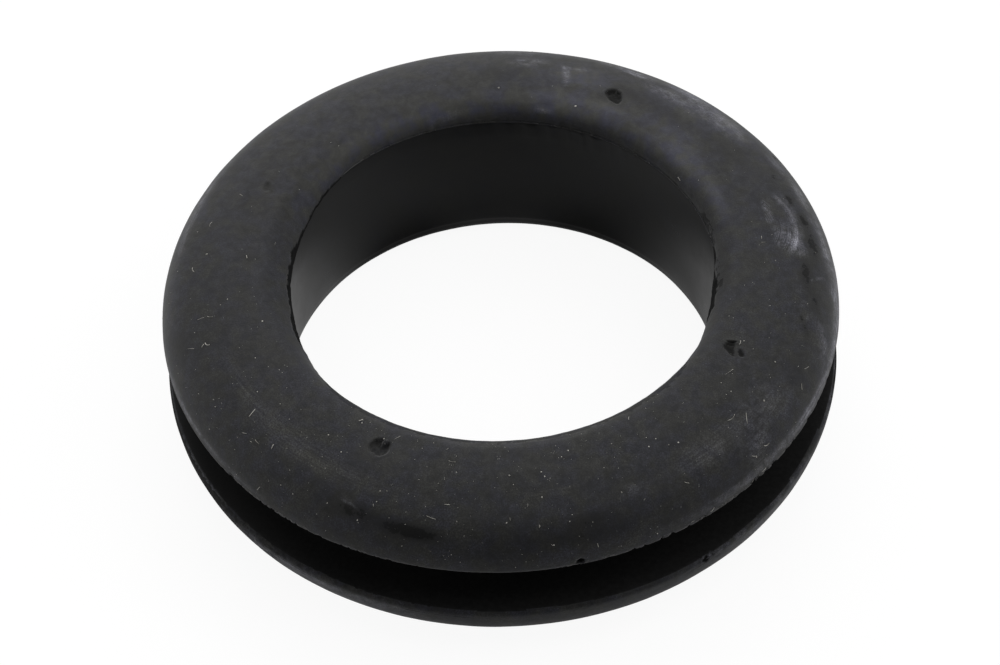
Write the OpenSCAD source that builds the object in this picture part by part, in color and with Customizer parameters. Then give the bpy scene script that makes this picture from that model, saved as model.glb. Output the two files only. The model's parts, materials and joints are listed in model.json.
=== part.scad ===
// Rubber grommet: a ring with a plain bore, and a groove round its outside that grips the edge of a
// panel hole between two domed flanges. It lines the hole, so that a cable or a pipe can pass through
// without chafing. It is moulded in one piece, in two cavities that meet at the flanges' widest point,
// round a core pin that shapes the bore.
//
// Millimetres. The origin is on the bore's axis, in the middle of the groove, and +Z is that axis.

/* [Bore and panel groove] */
// Diameter of the bore
bore_d = 32; // [26:0.25:38]
// Rubber between the bore and the floor of the groove
wall_t = 4; // [2.5:0.05:6]
// Width of the groove, which is the thickest panel that it takes
groove_w = 4.5; // [2.5:0.1:8]
// Radius where the floor of the groove meets each flange
root_r = 0.5; // [0.2:0.05:1]

/* [Flanges] */
// Thickness of each flange, from the groove to the crown of its dome
flange_t = 4.75; // [3.5:0.05:6]
// How far each flange stands out past the floor of the groove
flange_reach = 5; // [3.5:0.05:7]
// Radius of the dome where it falls away to the rim
shoulder_r = 3.6; // [1.5:0.1:3.9]
// Radius of the rim's edge on the groove side
rim_r = 0.35; // [0.2:0.05:0.8]

/* [Mouth of the bore] */
// Radius of the rounding from the crown of the dome down into the bore
lip_r = 1.5; // [0.8:0.1:2.4]
// Width of the ledge where the rounding meets the straight wall, at the core pin's parting line
ledge_w = 0.1; // [0.05:0.05:0.4]

/* [Gate marks] */
// Number of gate marks on the upper dome
gates = 4; // [2:1:8]
// Turn of the first gate mark from the X axis, in degrees
gate_turn = 61.75; // [0:0.25:90]
// Distance of the gate marks outward from the crown of the dome
gate_out = 1.4; // [0.5:0.05:3]
// Diameter of each gate mark
gate_d = 1.25; // [0.8:0.05:2]
// Depth of each gate mark below the dome
gate_depth = 0.5; // [0.2:0.05:1]
// Diameter of the torn stub in the middle of each gate mark
stub_d = 0.6; // [0.3:0.05:0.7]
// Height of that stub above the floor of the gate mark
stub_h = 0.25; // [0.05:0.05:0.5]

/* [Hidden] */
$fn = 128;

// Radii of the ring, from the axis
bore_rad = bore_d / 2;
groove_rad = bore_rad + wall_t;
rim_rad = groove_rad + flange_reach;
crown_rad = bore_rad + ledge_w + lip_r;

// Heights above the middle of the groove
groove_z = groove_w / 2;
parting_z = groove_z + rim_r;
crown_z = groove_z + flange_t;
ledge_z = crown_z - lip_r;

// The dome is two arcs that touch: the shoulder's, upright at the rim, and a wider one that is level at
// the crown. Both roundings are held inside the dome when it is small.
dome_w = rim_rad - crown_rad;
dome_h = crown_z - parting_z;
shoulder = min(shoulder_r, 0.9 * dome_w, 0.9 * dome_h);
crown_arc = (dome_w * dome_w + dome_h * dome_h - 2 * dome_w * shoulder) / (2 * (dome_h - shoulder));
joint_angle = atan2(crown_arc - dome_h, dome_w - shoulder);
root = min(root_r, 0.4 * groove_w, 0.8 * flange_reach);

// The wide arc is drawn this much smaller, so that the arcs it touches cross it cleanly
blend = 0.001;
// Spare length of a cutting shape past the face it cuts
clear = 1;

gate_rad = crown_rad + gate_out;
gate_top_z = crown_z - crown_arc + sqrt(crown_arc * crown_arc - gate_out * gate_out);

// The wide arc of the dome, from the crown out to where the shoulder takes over
module crown_piece() {
    centre = [crown_rad, crown_z - crown_arc];
    intersection() {
        translate(centre) circle(crown_arc - blend);
        polygon([
            [crown_rad, parting_z],
            [crown_rad, crown_z + crown_arc],
            centre + 2 * crown_arc * [cos(joint_angle), sin(joint_angle)],
            [rim_rad - shoulder, parting_z]
        ]);
    }
}

// The shoulder stands on the parting plane, and the edge's small rounding hangs below it
module rim_piece() {
    translate([rim_rad - shoulder, parting_z]) intersection() {
        circle(shoulder);
        translate([-shoulder, 0]) square([2 * shoulder, shoulder]);
    }
    translate([rim_rad - rim_r, parting_z]) intersection() {
        circle(rim_r);
        translate([0, -rim_r]) square(rim_r);
    }
}

// The mouth of the bore: the lip's rounding, ending on the ledge at the top of the straight wall
module lip_piece() {
    translate([crown_rad, ledge_z]) circle(lip_r);
    translate([bore_rad, 0]) square([crown_rad - bore_rad, ledge_z]);
}

// Half of the panel groove, with a rounded root
module groove_piece() {
    translate([groove_rad + root, 0]) square([flange_reach + clear, groove_z]);
    translate([groove_rad, 0]) square([flange_reach, groove_z - root]);
    translate([groove_rad + root, groove_z - root]) circle(root);
}

// The ring's section above the middle of the groove, with the radius along X and the height along Y
module half_section() {
    difference() {
        union() {
            translate([bore_rad, 0]) square([rim_rad - rim_r - bore_rad, parting_z]);
            crown_piece();
            rim_piece();
            lip_piece();
        }
        groove_piece();
    }
}

// A pit where a pin gate was pulled off, with the torn end of the gate left in the middle
module gate_mark() {
    difference() {
        cylinder(d = gate_d, h = gate_depth + clear);
        translate([0, 0, -clear]) cylinder(d1 = stub_d, d2 = stub_d / 2, h = clear + stub_h);
    }
}

module grommet() {
    color([0.13, 0.13, 0.14]) difference() {
        rotate_extrude() {
            half_section();
            mirror([0, 1]) half_section();
        }
        for (i = [0 : gates - 1])
            rotate([0, 0, gate_turn + i * 360 / gates])
                translate([gate_rad, 0, gate_top_z - gate_depth]) gate_mark();
    }
}

grommet();
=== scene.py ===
"""Rubber grommet: a moulded ring with trimmed flash, torn gate marks, bloom and lint, on a white table."""
import json
import math
import random
from functools import partial

import bmesh
import bpy
from mathutils import Matrix, Vector, noise


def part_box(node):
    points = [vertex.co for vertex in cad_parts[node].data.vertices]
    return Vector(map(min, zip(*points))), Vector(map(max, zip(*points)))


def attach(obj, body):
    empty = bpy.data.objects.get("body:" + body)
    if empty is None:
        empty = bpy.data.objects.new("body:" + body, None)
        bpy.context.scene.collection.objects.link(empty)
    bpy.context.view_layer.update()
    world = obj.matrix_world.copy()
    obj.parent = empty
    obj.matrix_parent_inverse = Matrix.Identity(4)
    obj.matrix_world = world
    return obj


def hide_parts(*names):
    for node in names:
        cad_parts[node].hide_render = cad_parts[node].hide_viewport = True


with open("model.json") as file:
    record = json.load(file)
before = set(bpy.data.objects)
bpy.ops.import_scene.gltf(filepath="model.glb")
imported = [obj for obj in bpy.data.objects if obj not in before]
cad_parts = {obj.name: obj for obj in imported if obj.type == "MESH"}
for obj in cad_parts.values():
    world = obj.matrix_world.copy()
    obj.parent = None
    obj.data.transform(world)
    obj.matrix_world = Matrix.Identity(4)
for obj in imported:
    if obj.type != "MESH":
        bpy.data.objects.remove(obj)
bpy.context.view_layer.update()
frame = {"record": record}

MM = 0.001

# ---- the section's sizes, in millimetres: the driving ones come from the frame ----
RING_LOW, RING_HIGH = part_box("grommet")
BORE_MOUNT = frame["record"]["mounts"][0]["dims"]
RIM_RADIUS = RING_HIGH.y / MM
CROWN_Z = RING_HIGH.z / MM
BORE_RADIUS = BORE_MOUNT["r_mm"]
LEDGE_Z = BORE_MOUNT["length_mm"] / 2
WALL = 4.0  # rubber between the bore and the floor of the groove
LEDGE = 0.1  # width of the ledge at the core pin's parting line
CREASE = 0.4  # how far below the ledge the pin left its crease
FLARE = 0.03  # how far the wall flares out under the ledge
FLARE_HEIGHT = 0.12
LIP = CROWN_Z - LEDGE_Z
CROWN_RADIUS = BORE_RADIUS + LEDGE + LIP
CROWN_SINK = 0.06  # how far the crown sank as the rubber shrank
SINK_DEPTH = 0.45  # how far below the crown the rubber still sank
HEADROOM = 0.002  # kept free between the solid's height and all that is drawn
GROOVE_RADIUS = BORE_RADIUS + WALL
GROOVE_Z = 2.25  # half the groove's width
ROOT = 0.5  # rounding of the groove's floor
RIM_EDGE = 0.35  # rounding of the rim's edge on the groove side
RIM_LAND = 0.3  # the strip of the groove's side next to it
RIM_CORNER = Vector((RIM_RADIUS - 0.0782, GROOVE_Z + 0.17))  # about the middle of that edge: radius, height
PARTING_Z = GROOVE_Z + RIM_EDGE
SHOULDER = 3.6  # rounding of the dome where it falls to the rim
SHOULDER_RADIUS = RIM_RADIUS - SHOULDER
DOME_WIDTH = RIM_RADIUS - CROWN_RADIUS
DOME_HEIGHT = CROWN_Z - PARTING_Z
CROWN = (DOME_WIDTH**2 + DOME_HEIGHT**2 - 2 * DOME_WIDTH * SHOULDER) / (2 * (DOME_HEIGHT - SHOULDER))
CROWN_TURN = math.atan2(DOME_WIDTH - SHOULDER, CROWN - DOME_HEIGHT)
CROWN_LENGTH = CROWN * CROWN_TURN
LIP_LENGTH = LIP * math.pi / 2
MEAN_RADIUS = 21.0  # lengths round the dome are measured at this radius

# The skirt of flash at the bore's upper mouth: the lip flows on into it, to a torn edge inside the bore.
SKIRT_RADIUS = BORE_RADIUS - 0.7
SKIRT_Z = LEDGE_Z - 0.05
SKIRT_START = math.radians(37)
SKIRT_SEAT = Vector((CROWN_RADIUS - LIP * math.sin(SKIRT_START), LEDGE_Z + LIP * math.cos(SKIRT_START)))
SKIRT_REACH = SKIRT_SEAT - Vector((SKIRT_RADIUS, SKIRT_Z))
SKIRT_INWARD = Vector((math.sin(SKIRT_START), -math.cos(SKIRT_START)))
SKIRT = -SKIRT_REACH.length_squared / (2 * SKIRT_REACH.dot(SKIRT_INWARD))
SKIRT_MIDDLE = SKIRT_SEAT + SKIRT * SKIRT_INWARD
SKIRT_TURN = math.asin((SKIRT_MIDDLE.x - SKIRT_RADIUS) / SKIRT) - SKIRT_START
# How thick and how high its torn edge is, and the share of its curve, next to that edge, that is drawn finer.
SKIRT_EDGE = 0.06
SKIRT_EDGE_HEIGHT = 0.08
SKIRT_FINE = 0.55

# The witness line that the split mould leaves round each flange, just past the rim's edge.
WITNESS_Z = PARTING_Z + 0.17
WITNESS_HALF = 0.07
WITNESS_DEPTH = 0.003
WITNESS_TURN = math.asin((WITNESS_Z + WITNESS_HALF - PARTING_Z) / SHOULDER)

# The section is swept in two to the power of RING_DOUBLINGS wedges, each of RING_STEPS steps.
RING_STEPS = 21
RING_DOUBLINGS = 5

# ---- the torn gate marks ----
# The azimuth of each, how deep and how softly it is torn, how dark the rubber is in it, and its outline in
# millimetres, outward and then round from its middle. Knobs are the stumps left standing in it: outward,
# round, radius, height.
GATE_MARKS = [
    {
        "azimuth": 61.0,
        "depth": 0.32,
        "soft": 0.3,
        "dark": 0.8,
        "outline": [
            (0.1, 0.85), (0.66, 0.8), (1.05, 0.44), (0.93, -0.21),
            (0.5, -0.58), (-0.07, -0.78), (-0.52, -0.68), (-0.48, -0.04),
        ],
        "knobs": [],
    },
    {
        "azimuth": -28.5,
        "depth": 0.26,
        "soft": 0.25,
        "dark": 0.65,
        "outline": [
            (-0.93, -0.22), (-0.9, 0.2), (-0.7, 0.42), (-0.2, 0.56),
            (-0.08, 0.0), (0.26, -0.72), (0.0, -0.82), (-0.73, -0.46),
        ],
        "knobs": [],
    },
    {
        "azimuth": -28.5,
        "depth": 0.24,
        "soft": 0.22,
        "dark": 0.65,
        "outline": [(0.15, -0.05), (0.28, 0.28), (0.67, -0.05), (0.85, -0.31), (0.68, -0.52), (0.42, -0.5)],
        "knobs": [],
    },
    {
        "azimuth": -28.5,
        "depth": 0.2,
        "soft": 0.07,
        "dark": 1.0,
        "outline": [(-0.86, 0.33), (-0.84, 0.38), (-0.56, 0.45), (-0.26, 0.62), (-0.28, 0.56), (-0.56, 0.4)],
        "knobs": [],
    },
    {
        "azimuth": -118.0,
        "depth": 0.4,
        "soft": 0.25,
        "dark": 0.45,
        "outline": [
            (0.3, -0.78), (-0.4, -0.66), (-0.86, -0.12), (-0.7, 0.46),
            (-0.22, 0.9), (0.42, 0.72), (0.82, 0.26), (0.62, -0.36),
        ],
        "knobs": [(-0.5, 0.2, 0.32, 0.36)],
    },
    {
        "azimuth": 151.6,
        "depth": 0.13,
        "soft": 0.35,
        "dark": 0.5,
        "outline": [(0.55, 0.1), (0.35, -0.25), (-0.15, 0.1), (-0.25, 0.7), (0.15, 0.85), (0.4, 0.6)],
        "knobs": [],
    },
]
GATE_RADIUS = 19.0  # how far out on the dome the marks lie
GATE_REACH = 1.35  # how far from its middle the tearing of a mark reaches
# How ragged and how blurred a mark's edge is, and how high a rim the tearing raised, how far off, how wide.
GATE_RAGGED = 0.04
GATE_BLUR = 0.06
GATE_RIM = 0.012
GATE_RIM_OFF = 0.13
GATE_RIM_WIDTH = 0.1

# ---- where the edges are torn: azimuth, half its spread in degrees, and how badly ----
UPPER_RIM_TEARS = [
    (-142.7, 1.5, 1.0), (-133, 9, 0.6), (-112, 9, 0.3), (-70, 9, 0.7),
    (-52, 8, 0.9), (-38, 9, 1.0), (-24, 7, 0.7),
]
LOWER_RIM_TEARS = [
    (-150, 10, 0.2), (-128, 12, 0.35), (-107, 8, 0.25),
    (-78, 3, 0.3), (-56, 1.5, 1.0), (-46, 3, 0.3),
]
UPPER_WITNESS_TEARS = [(-160, 14, 0.15), (20, 12, 0.2), (100, 30, 0.2)]
LOWER_WITNESS_TEARS = [
    (-148, 16, 1.0), (-126, 9, 0.8), (-104, 8, 0.4), (-56, 3, 0.8),
    (-20, 10, 0.5), (60, 30, 0.4), (150, 25, 0.5),
]
# How far a tear pulls the upper and the lower rim back from the groove, and both inward, and how deep it
# nicks the witness line, in millimetres.
UPPER_RIM_PULL = 0.4
LOWER_RIM_PULL = 0.12
RIM_PULL_IN = 0.06
WITNESS_NICK = 0.13
# Bites out of the upper rim: azimuth, height, half its width round and up, and its depth.
RIM_BITES = [(-78.8, 2.72, 0.34, 0.3, 0.3), (-42.6, 2.5, 0.22, 0.2, 0.22), (-49.0, 2.4, 0.3, 0.14, 0.15)]
# How far the skirt at the bore's mouth hangs in, and how wide its torn edge is in millimetres. That edge is
# painted black, as the shade in the gap under the skirt.
SKIRT_HANGS = [
    (180, 28, 1.0), (148, 14, 0.3), (-10, 13, 0.6), (-90, 50, 0.58), (107.4, 0.9, 0.15), (72.1, 1, 0.15),
]
SKIRT_TORN_AND_SHADED = [
    (173, 10, 0.4), (152, 12, 0.16), (-175.5, 4, 0.28), (-164, 7, 0.6), (-90, 45, 0.14),
    (-12, 8, 0.8), (-3, 3, 0.3), (4, 3, 0.5),
]
# The torn edge droops this much, more by the slope the wider it is torn, and never more than the most.
TORN_DROOP = 0.1
TORN_SLOPE = 0.6
TORN_DROOP_MOST = 0.3
# The faint ridge that the core pin left along the crease in the bore's wall, and how far it stands out.
CREASE_RIDGE = [(72, 30, 1.0)]
CREASE_RISE = 0.04

# The skin is never quite true: the height and length of each wave in it, and how far it shrank.
SKIN_WAVES = [(0.016, 3.4), (0.005, 0.9)]
SKIN_SHRINKAGE = 0.012

# ---- where each rubber shows ----
# The four rubbers, by their places in the ring's list of materials.
BLOOMED, BARE_AND_SHADED, PIN_MOULDED, RUBBED_AND_SHADED = range(4)
# The lower flange is painted dark as shade outside a stretch at the front: the middle of that stretch, half
# of it, and the fringe inside its ends, where the duller rubbed rubber gives a lighter painted shade.
UNSHADED_MIDDLE = -78
UNSHADED_HALF = 66
SHADE_FRINGE = 7
# The stretch of the near lip that takes the duller rubbed rubber, as painted shade that dims its glancing
# reflection: its middle, half of it, how far in from the crown it starts, and how many millimetres it narrows
# for each degree past its ends.
SHADED_LIP_MIDDLE = -88
SHADED_LIP_HALF = 48
SHADED_LIP_START = 0.8
SHADED_LIP_TAPER = 0.1
# Painted shade counts here as wiped off.
SHARPLY_DARKENED = 0.45  # the mesh is cut finer where more than this is wiped off


# ---- small helpers ----
def linear(code):
    """An sRGB hex colour as the linear numbers that a shader takes."""
    parts = [int(code[i : i + 2], 16) / 255 for i in (1, 3, 5)]
    return [p / 12.92 if p <= 0.04045 else ((p + 0.055) / 1.055) ** 2.4 for p in parts] + [1.0]


def add(tree, kind, inputs=(), output=0, **settings):
    """Adds a node and returns one of its outputs. inputs gives its sockets, in order or by name, each a value
    or the output that feeds it."""
    made = tree.nodes.new("ShaderNode" + kind)
    for name, value in settings.items():
        setattr(made, name, value)
    for socket, value in inputs.items() if isinstance(inputs, dict) else enumerate(inputs):
        if isinstance(value, bpy.types.NodeSocket):
            tree.links.new(value, made.inputs[socket])
        else:
            made.inputs[socket].default_value = value
    return made.outputs[output] if made.outputs else made


def soft_step(low, high, value):
    """0 at low, 1 at high and a smooth rise between; low may be above high."""
    t = min(max((value - low) / (high - low), 0.0), 1.0)
    return t * t * (3 - 2 * t)


def turn_between(azimuth, centre):
    """Degrees from centre round to azimuth, the short way."""
    return (azimuth - centre + 180) % 360 - 180


def torn_here(azimuth, tears):
    """How badly an edge is torn at an azimuth, from the list of its tears."""
    badly = 0.0
    for at, spread, much in tears:
        badly += much * soft_step(1.6, 0.3, abs(turn_between(azimuth, at)) / spread)
    return badly


def rag(point, size, seed):
    """Ragged noise from about -1 to 1, with lumps of that size in millimetres and finer ones in them."""
    lump = noise.noise(point / size + Vector((seed, 0, 0)))
    nick = noise.noise(point / (0.37 * size) + Vector((0, seed, 0)))
    chip = noise.noise(point / (0.15 * size) + Vector((0, 0, seed)))
    return lump + 0.6 * nick + 0.4 * chip


def depth_inside(x, y, outline):
    """How far a point lies inside a closed outline, and less than 0 outside it."""
    nearest, inside = math.inf, False
    for (ax, ay), (bx, by) in zip(outline, outline[1:] + outline[:1]):
        side = Vector((bx - ax, by - ay))
        offset = Vector((x - ax, y - ay))
        along = min(max(offset.dot(side) / side.length_squared, 0), 1)
        nearest = min(nearest, (offset - along * side).length)
        if (ay > y) != (by > y) and x < ax + (y - ay) * side.x / side.y:
            inside = not inside
    return nearest if inside else -nearest


def rounded(outline):
    """An outline with each of its corners cut off a quarter of the way along the sides."""
    follows = outline[1:] + outline[:1]
    sides = [(Vector(here), Vector(there)) for here, there in zip(outline, follows)]
    return [tuple(here.lerp(there, share)) for here, there in sides for share in (0.25, 0.75)]


def on_dome(azimuth, across):
    """A frame on the dome: x runs outward across it, y round it and z off it. across is the arc length from
    the ledge."""
    if across < LIP_LENGTH:
        middle, height, arc, lean = CROWN_RADIUS, LEDGE_Z, LIP, across / LIP - math.pi / 2
    elif across < LIP_LENGTH + CROWN_LENGTH:
        middle, height, arc, lean = CROWN_RADIUS, CROWN_Z - CROWN, CROWN, (across - LIP_LENGTH) / CROWN
    else:
        middle, height, arc = SHOULDER_RADIUS, PARTING_Z, SHOULDER
        lean = CROWN_TURN + (across - LIP_LENGTH - CROWN_LENGTH) / SHOULDER
    seat = Matrix.Translation((middle + arc * math.sin(lean), 0, sunk(height + arc * math.cos(lean))))
    return Matrix.Rotation(math.radians(azimuth), 4, "Z") @ seat @ Matrix.Rotation(lean, 4, "Y")


def across_dome(radius, height):
    """The arc length from the ledge to a point of the dome, the inverse of on_dome."""
    if radius < CROWN_RADIUS:
        return LIP * math.atan2(height - LEDGE_Z, CROWN_RADIUS - radius)
    lean = math.atan2(radius - CROWN_RADIUS, height - CROWN_Z + CROWN)
    if lean < CROWN_TURN:
        return LIP_LENGTH + CROWN * lean
    lean = math.atan2(radius - SHOULDER_RADIUS, height - PARTING_Z)
    return LIP_LENGTH + CROWN_LENGTH + SHOULDER * (lean - CROWN_TURN)


def sunk(height):
    """The crown sank a little as the rubber shrank, which leaves the dust on it within the ring's height."""
    return height - CROWN_SINK * soft_step(CROWN_Z - SINK_DEPTH, CROWN_Z, height)


def finished(bm, name, *materials):
    """The mesh in millimetres becomes an object in metres that rides with the ring. Nothing stands above the
    crown."""
    for vert in bm.verts:
        vert.co.z = min(vert.co.z, CROWN_Z - HEADROOM)
    bmesh.ops.scale(bm, vec=(MM, MM, MM), verts=bm.verts)
    mesh = bpy.data.meshes.new(name)
    bm.to_mesh(mesh)
    bm.free()
    mesh.shade_smooth()
    for material in materials:
        mesh.materials.append(material)
    piece = bpy.data.objects.new(name, mesh)
    bpy.context.scene.collection.objects.link(piece)
    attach(piece, "root")
    return piece


# ---- sections, drawn by moving one vertex, and the rings swept from them ----
def straight(bm, vert, radius, height, parts=1):
    """A straight stretch of the section from vert, in so many equal parts."""
    start = vert.co.copy()
    for part in range(1, parts + 1):
        vert = bmesh.ops.extrude_vert_indiv(bm, verts=[vert])["verts"][0]
        vert.co = start.lerp(Vector((radius, 0, height)), part / parts)
    return vert


def bend(bm, vert, radius, height, turn, parts):
    """A round stretch of the section: vert swings about a centre, clockwise where turn is positive."""
    swung = bmesh.ops.spin(
        bm, geom=[vert], cent=(radius, 0, height), axis=(0, 1, 0), angle=turn, steps=parts
    )
    return [v for v in swung["geom_last"] if isinstance(v, bmesh.types.BMVert)][0]


def swept_round(bm, steps, doublings):
    """The section is spun through one wedge, which is doubled until the ring is whole."""
    wedge = math.tau / 2**doublings
    bmesh.ops.spin(
        bm, geom=bm.verts[:] + bm.edges[:], cent=(0, 0, 0), axis=(0, 0, 1), angle=wedge, steps=steps
    )
    for doubling in range(doublings):
        copy = bmesh.ops.duplicate(bm, geom=bm.verts[:] + bm.edges[:] + bm.faces[:])["geom"]
        turned = [v for v in copy if isinstance(v, bmesh.types.BMVert)]
        turn = Matrix.Rotation(wedge * 2**doubling, 3, "Z")
        bmesh.ops.rotate(bm, cent=(0, 0, 0), matrix=turn, verts=turned)
    bmesh.ops.remove_doubles(bm, verts=bm.verts, dist=1e-4)
    bmesh.ops.recalc_face_normals(bm, faces=bm.faces)


def half_section(bm, skirted):
    """Half of the C-shaped section, from the bore's wall over the dome to the groove's floor. The half with
    the skirt is the one that shows, so it has more steps."""
    crown_steps, shoulder_steps = (13, 12) if skirted else (8, 8)
    shoulder_turn = math.pi / 2 - CROWN_TURN - WITNESS_TURN
    vert = bm.verts.new((BORE_RADIUS, 0, 0))
    vert = straight(bm, vert, BORE_RADIUS, LEDGE_Z - CREASE, 4)
    vert = straight(bm, vert, BORE_RADIUS + FLARE, LEDGE_Z - FLARE_HEIGHT, 3)
    if skirted:
        vert = straight(bm, vert, SKIRT_RADIUS + SKIRT_EDGE, SKIRT_Z - SKIRT_EDGE_HEIGHT, 2)
        vert = straight(bm, vert, SKIRT_RADIUS, SKIRT_Z)
        vert = bend(bm, vert, *SKIRT_MIDDLE, SKIRT_FINE * SKIRT_TURN, 13)
        vert = bend(bm, vert, *SKIRT_MIDDLE, (1 - SKIRT_FINE) * SKIRT_TURN, 2)
        vert = bend(bm, vert, CROWN_RADIUS, LEDGE_Z, SKIRT_START, 5)
    else:
        vert = straight(bm, vert, BORE_RADIUS + LEDGE, LEDGE_Z)
        vert = bend(bm, vert, CROWN_RADIUS, LEDGE_Z, math.pi / 2, 7)
    vert = bend(bm, vert, CROWN_RADIUS, CROWN_Z - CROWN, CROWN_TURN, crown_steps)
    vert = bend(bm, vert, SHOULDER_RADIUS, PARTING_Z, shoulder_turn, shoulder_steps)
    vert = straight(bm, vert, RIM_RADIUS - WITNESS_DEPTH, WITNESS_Z)
    vert = straight(bm, vert, RIM_RADIUS, WITNESS_Z - WITNESS_HALF)
    vert = straight(bm, vert, RIM_RADIUS, PARTING_Z)
    vert = bend(bm, vert, RIM_RADIUS - RIM_EDGE, PARTING_Z, math.pi / 2, 4)
    vert = straight(bm, vert, RIM_RADIUS - RIM_EDGE - RIM_LAND, GROOVE_Z)
    vert = straight(bm, vert, GROOVE_RADIUS + ROOT, GROOVE_Z, 2)
    vert = bend(bm, vert, GROOVE_RADIUS + ROOT, GROOVE_Z - ROOT, -math.pi / 2, 3)
    straight(bm, vert, GROOVE_RADIUS, 0)


def ring_section(bm):
    """The whole section: the lower half is turned over, and the upper one has the skirt of flash."""
    half_section(bm, False)
    bmesh.ops.scale(bm, vec=(1, 1, -1), verts=bm.verts)
    half_section(bm, True)
    bmesh.ops.remove_doubles(bm, verts=bm.verts, dist=1e-5)


# ---- what wear and the mould did to the ring ----
def cut_finer(bm, near, cuts):
    """Cuts the edges at the vertices that near picks out."""
    edges = {edge for vert in bm.verts if near(vert.co) for edge in vert.link_edges}
    bmesh.ops.subdivide_edges(bm, edges=list(edges), cuts=cuts, use_grid_fill=True)


def refine_darkened(bm):
    """Cuts the faces finer where the bloom is wiped off, or where the rubber is painted dark as shade."""

    def near(place):
        radius = math.hypot(place.x, place.y)
        if place.z < PARTING_Z or radius < CROWN_RADIUS:
            return False
        azimuth = math.degrees(math.atan2(place.y, place.x))
        return patch_strength(azimuth, across_dome(radius, place.z), WIPED_AND_PAINTED_LIGHT) > SHARPLY_DARKENED

    cut_finer(bm, near, 3)


def refine_rims(bm):
    """Cuts the faces finer along the rims, where they are torn."""
    for tears, side in ((UPPER_RIM_TEARS, 1), (LOWER_RIM_TEARS, -1)):

        def near(place):
            azimuth = math.degrees(math.atan2(place.y, place.x))
            far_out = math.hypot(place.x, place.y) > RIM_RADIUS - 2 * RIM_EDGE
            at_edge = far_out and GROOVE_Z - 0.01 < side * place.z < PARTING_Z + 0.5
            return at_edge and torn_here(azimuth, tears) > 0

        cut_finer(bm, near, 1)


def tear_gates(bm, torn):
    """Each gate mark is cut finer, sunk inside its outline, and left with a raised rim and its stumps."""
    across = LIP_LENGTH + CROWN * math.asin((GATE_RADIUS - CROWN_RADIUS) / CROWN)
    for mark in GATE_MARKS:
        seat = on_dome(mark["azimuth"], across)
        inverse = seat.inverted()
        outline = rounded(mark["outline"])

        def near(place):
            return place.z > 0 and (place - seat.translation).length < GATE_REACH

        if not any(vert[torn] for vert in bm.verts if near(vert.co)):
            cut_finer(bm, near, 3)
        for vert in [vert for vert in bm.verts if near(vert.co)]:
            x, y, _ = inverse @ vert.co
            inside = depth_inside(x, y, outline) + GATE_RAGGED * rag(vert.co, 0.4, 3.0)
            uneven = 0.85 + 0.25 * rag(vert.co, 0.6, 9.0)
            sink = mark["depth"] * soft_step(-GATE_BLUR, mark["soft"], inside) * uneven
            lift = GATE_RIM * math.exp(-(((inside + GATE_RIM_OFF) / GATE_RIM_WIDTH) ** 2))
            stump = 0.0
            for out, around, reach, height in mark["knobs"]:
                stump = soft_step(reach, 0.4 * reach, math.hypot(x - out, y - around))
                lift += height * stump
            vert.co += seat.to_3x3() @ Vector((0, 0, lift * (sink > 0.02 or inside < 0) - sink))
            dark = mark["dark"] * (1 - stump) * soft_step(-0.08, 0.5 * mark["soft"], inside)
            vert[torn] = max(vert[torn], dark)


def hang_skirt(vert, flat, radius, azimuth, torn):
    """Draws the skirt back towards the plain lip, as far as it has torn away, and roughens its torn edge,
    which is marked dark as painted shade under the skirt. flat is where the vertex lies without its height."""
    share = min(torn_here(azimuth, SKIRT_HANGS), 1.0) + 0.06 * rag(flat, 1.1, 41.0)
    if vert.co.z < SKIRT_Z - 0.001:
        along = 1.0
        lip = Vector((BORE_RADIUS + SKIRT_EDGE, vert.co.z))
    else:
        turn = math.atan2(SKIRT_MIDDLE.x - radius, vert.co.z - SKIRT_MIDDLE.y)
        along = min(max((turn - SKIRT_START) / SKIRT_TURN, 0.0), 1.0)
        lean = SKIRT_START + along * (math.pi / 2 - SKIRT_START)
        lip = Vector((CROWN_RADIUS - LIP * math.sin(lean), LEDGE_Z + LIP * math.cos(lean)))
    drawn = lip.lerp(Vector((radius, vert.co.z)), min(max(share, 0.0), 1.0))
    width = torn_here(azimuth, SKIRT_TORN_AND_SHADED) * (0.9 + 0.4 * rag(flat, 0.9, 43.0))
    off_edge = (1 - along) * SKIRT_REACH.length
    # The torn edge's dark mark is painted shade.
    vert[torn] = soft_step(width + 0.02, width - 0.06, off_edge)
    droop = TORN_DROOP * vert[torn] + TORN_SLOPE * max(width - off_edge, 0.0)
    vert.co = flat / radius * drawn.x
    vert.co.z = drawn.y - min(droop, TORN_DROOP_MOST)


def tear_rim(vert, outward, radius, azimuth, torn):
    """Makes a rim ragged where its flash was trimmed, opens the witness line there, and bites into it."""
    upper = vert.co.z > 0
    height = abs(vert.co.z)
    up = Vector((0, 0, 1 if upper else -1))
    edge = soft_step(0.42, 0.1, math.hypot(radius - RIM_CORNER.x, height - RIM_CORNER.y))
    notch = soft_step(-0.15 if upper else 0.0, 0.4, rag(vert.co, 0.4, 5.0 if upper else 11.0))
    tear = edge * notch * torn_here(azimuth, UPPER_RIM_TEARS if upper else LOWER_RIM_TEARS)
    vert.co += tear * ((UPPER_RIM_PULL if upper else LOWER_RIM_PULL) * up - RIM_PULL_IN * outward)
    vert[torn] = max(vert[torn], min(1.0, 1.3 * tear))
    if abs(height - WITNESS_Z) < 0.03:
        open_here = torn_here(azimuth, UPPER_WITNESS_TEARS if upper else LOWER_WITNESS_TEARS)
        nick = open_here * soft_step(-0.5, 0.5, rag(vert.co, 0.7, 17.0))
        vert.co -= WITNESS_NICK * nick * outward
        # The opened witness line is marked dark, as painted shade in the nick.
        vert[torn] = max(vert[torn], min(1.0, 1.4 * nick))
    for at, rise, half_round, half_up, deep in RIM_BITES if upper else []:
        round_off = math.radians(turn_between(azimuth, at)) * RIM_RADIUS
        bite = soft_step(1.15, 0.6, math.hypot(round_off / half_round, (height - rise) / half_up))
        vert.co += deep * bite * (0.25 * up - outward)
        vert[torn] = max(vert[torn], bite)


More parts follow.
